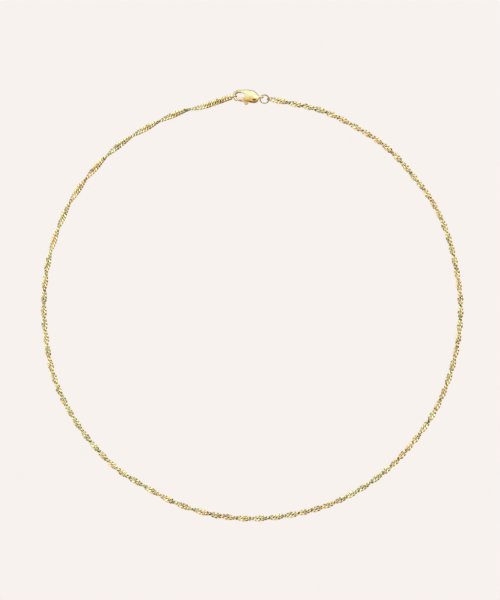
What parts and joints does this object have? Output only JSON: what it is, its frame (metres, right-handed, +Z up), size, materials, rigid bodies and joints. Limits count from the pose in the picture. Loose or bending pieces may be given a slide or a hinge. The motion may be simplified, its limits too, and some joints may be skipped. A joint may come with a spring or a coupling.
{
  "type": "chain necklace with lobster clasp",
  "caption": "Fine twisted-link gold chain necklace laid in a closed loop, fastened by a lobster clasp with a sprung lever, a jump ring and an end ring.",
  "frame": {"origin": "middle of the loop's bounding box, on the surface that the necklace lies on", "axes": "+Z up from the surface, +Y towards the clasp, +X to the wearer's side where the jump ring is"},
  "size_m": [0.1444, 0.1475, 0.0026],
  "materials": {
    "chain_gold": "bright polished yellow gold links, diamond cut on their faces",
    "ring_gold": "drawn yellow gold wire, polished",
    "clasp_gold": "cast pale yellow gold, high polish with fine wear",
    "lever_gold": "cast warm yellow gold, satin sides and polished edges"
  },
  "bodies": {
    "necklace": {"chain_right": "chain_gold", "chain_left": "chain_gold", "jump_ring": "ring_gold", "end_ring": "ring_gold", "clasp_body": "clasp_gold", "clasp_rivet": "clasp_gold"},
    "lever": {"clasp_lever": "lever_gold"}
  },
  "joints": [
    {"name": "lever_hinge", "type": "hinge", "parent": "necklace", "child": "lever", "pos_m": [-0.00075, 0.07085, 0.0013], "axis": [0, 0, -1], "range_deg": [0, 18], "stiffness_Nm_per_rad": 0.003, "springref_deg": -28.65}
  ]
}
